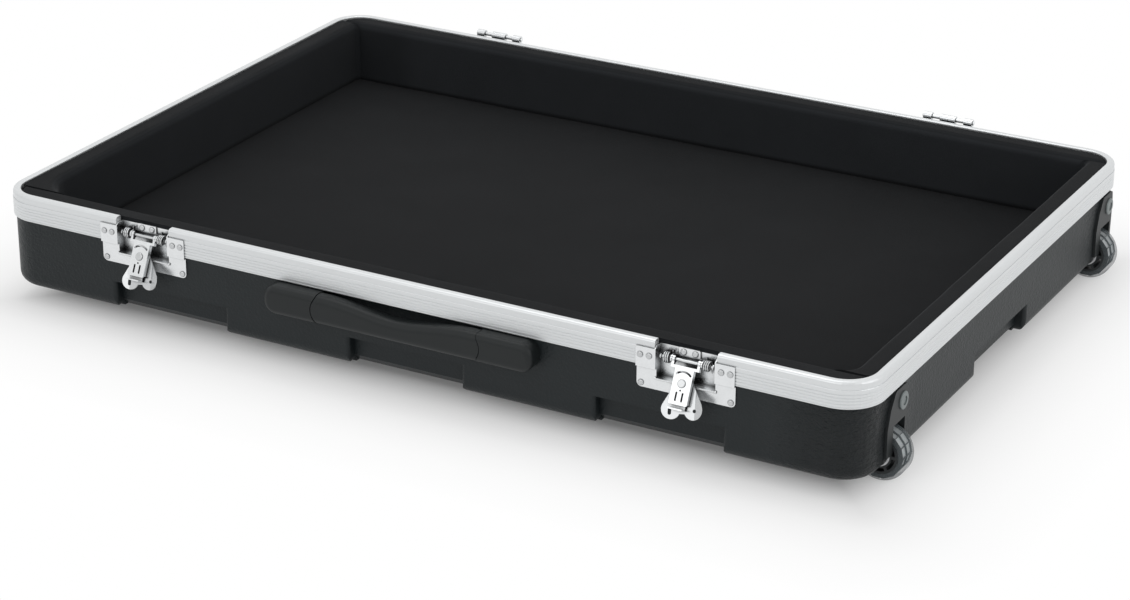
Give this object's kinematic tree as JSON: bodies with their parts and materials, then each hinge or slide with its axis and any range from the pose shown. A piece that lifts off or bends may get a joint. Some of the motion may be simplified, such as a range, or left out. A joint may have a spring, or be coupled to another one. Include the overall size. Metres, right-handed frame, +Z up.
{
  "type": "wheeled mixer case base",
  "caption": "Open lower half of a wheeled padded equipment case, with butterfly latches hanging open, a folding carrying handle, hinge rods for a lift-off lid and a pull-out tow handle.",
  "frame": {"origin": "centre of the shell's flat underside", "axes": "+Z up out of the open mouth, -Y towards the latches and the carrying handle, +X towards the wheels"},
  "size_m": [0.9897, 0.7034, 0.1276],
  "materials": {
    "shell": "pebbled black moulded polyethylene",
    "aluminium": "bright drawn, lengthwise ribbed",
    "lining": "black velour over foam",
    "plated_steel": "bright nickel plate",
    "handle_plastic": "smooth black moulding",
    "fork_plastic": "dark grey moulding",
    "wheel_tyre": "smoky translucent polyurethane",
    "wheel_hub": "grey moulding",
    "screw_steel": "zinc plated",
    "rivet_grey": "grey, satin",
    "foot_rubber": "black moulded rubber",
    "tube_aluminium": "anodised"
  },
  "bodies": {
    "case": {"base_shell": "shell", "rim_valance": "aluminium", "rim_valance_front": "aluminium", "foam_floor": "lining", "foam_wall_front": "lining", "foam_wall_back": "lining", "foam_wall_left": "lining", "foam_wall_right": "lining", "latch_dish_left": "plated_steel", "latch_rivets_left": "plated_steel", "latch_bracket_left": "plated_steel", "latch_bracket_rivets_left": "plated_steel", "latch_pivot_pin_left": "plated_steel", "latch_springs_left": "plated_steel", "hinge_leaf_left": "plated_steel", "hinge_rod_left": "plated_steel", "hinge_rivets_left": "plated_steel", "handle_cap_left": "handle_plastic", "latch_dish_right": "plated_steel", "latch_rivets_right": "plated_steel", "latch_bracket_right": "plated_steel", "latch_bracket_rivets_right": "plated_steel", "latch_pivot_pin_right": "plated_steel", "latch_springs_right": "plated_steel", "hinge_leaf_right": "plated_steel", "hinge_rod_right": "plated_steel", "hinge_rivets_right": "plated_steel", "handle_cap_right": "handle_plastic", "handle_screws": "screw_steel", "foot_screws": "screw_steel", "wheel_fork_front": "fork_plastic", "wheel_axle_front": "screw_steel", "wheel_rivet_front": "rivet_grey", "wheel_fork_back": "fork_plastic", "wheel_axle_back": "screw_steel", "wheel_rivet_back": "rivet_grey", "rest_feet": "foot_rubber", "tow_outer_tubes": "tube_aluminium", "tow_clamps": "fork_plastic"},
    "link_left": {"latch_link_left": "plated_steel", "latch_post_left": "plated_steel"},
    "hook_left": {"latch_hook_left": "plated_steel"},
    "wing_left": {"latch_wing_left": "plated_steel"},
    "link_right": {"latch_link_right": "plated_steel", "latch_post_right": "plated_steel"},
    "hook_right": {"latch_hook_right": "plated_steel"},
    "wing_right": {"latch_wing_right": "plated_steel"},
    "carry_grip": {"handle_grip": "handle_plastic"},
    "wheel_front": {"wheel_tyre_front": "wheel_tyre", "wheel_hub_front": "wheel_hub", "wheel_bearings_front": "screw_steel"},
    "wheel_back": {"wheel_tyre_back": "wheel_tyre", "wheel_hub_back": "wheel_hub", "wheel_bearings_back": "screw_steel"},
    "tow_handle": {"tow_grip": "handle_plastic", "tow_inner_tubes": "tube_aluminium"}
  },
  "joints": [
    {"name": "latch_swing_left", "type": "hinge", "parent": "case", "child": "link_left", "pos_m": [-0.3055, -0.3316, 0.0874], "axis": [-1, 0, 0], "range_deg": [0, 150], "stiffness_Nm_per_rad": 0.02},
    {"name": "wing_turn_left", "type": "hinge", "parent": "link_left", "child": "wing_left", "pos_m": [-0.3055, -0.34064, 0.06845], "axis": [0, 0.9026, -0.4305], "range_deg": [0, 44]},
    {"name": "hook_slide_left", "type": "slide", "parent": "link_left", "child": "hook_left", "axis": [0, 0.4305, 0.9026], "range_m": [0, 0.0022]},
    {"name": "latch_swing_right", "type": "hinge", "parent": "case", "child": "link_right", "pos_m": [0.3055, -0.3316, 0.0874], "axis": [-1, 0, 0], "range_deg": [0, 150], "stiffness_Nm_per_rad": 0.02},
    {"name": "wing_turn_right", "type": "hinge", "parent": "link_right", "child": "wing_right", "pos_m": [0.3055, -0.34064, 0.06845], "axis": [0, 0.9026, -0.4305], "range_deg": [0, 44]},
    {"name": "hook_slide_right", "type": "slide", "parent": "link_right", "child": "hook_right", "axis": [0, 0.4305, 0.9026], "range_m": [0, 0.0022]},
    {"name": "carry_grip_swing", "type": "hinge", "parent": "case", "child": "carry_grip", "pos_m": [0, -0.343, 0.0603], "axis": [-1, 0, 0], "range_deg": [0, 90]},
    {"name": "wheel_spin_front", "type": "hinge", "parent": "case", "child": "wheel_front", "pos_m": [0.4744, -0.261, 0.0073], "axis": [0, 1, 0], "continuous": true},
    {"name": "wheel_spin_back", "type": "hinge", "parent": "case", "child": "wheel_back", "pos_m": [0.4744, 0.285, 0.0073], "axis": [0, 1, 0], "continuous": true},
    {"name": "tow_slide", "type": "slide", "parent": "case", "child": "tow_handle", "axis": [-1, 0, 0], "range_m": [0, 0.38]}
  ],
  "couplings": [
    {"joint": "hook_slide_left", "follows": "wing_turn_left", "m_per_rad": 0.00286},
    {"joint": "hook_slide_right", "follows": "wing_turn_right", "m_per_rad": 0.00286}
  ]
}
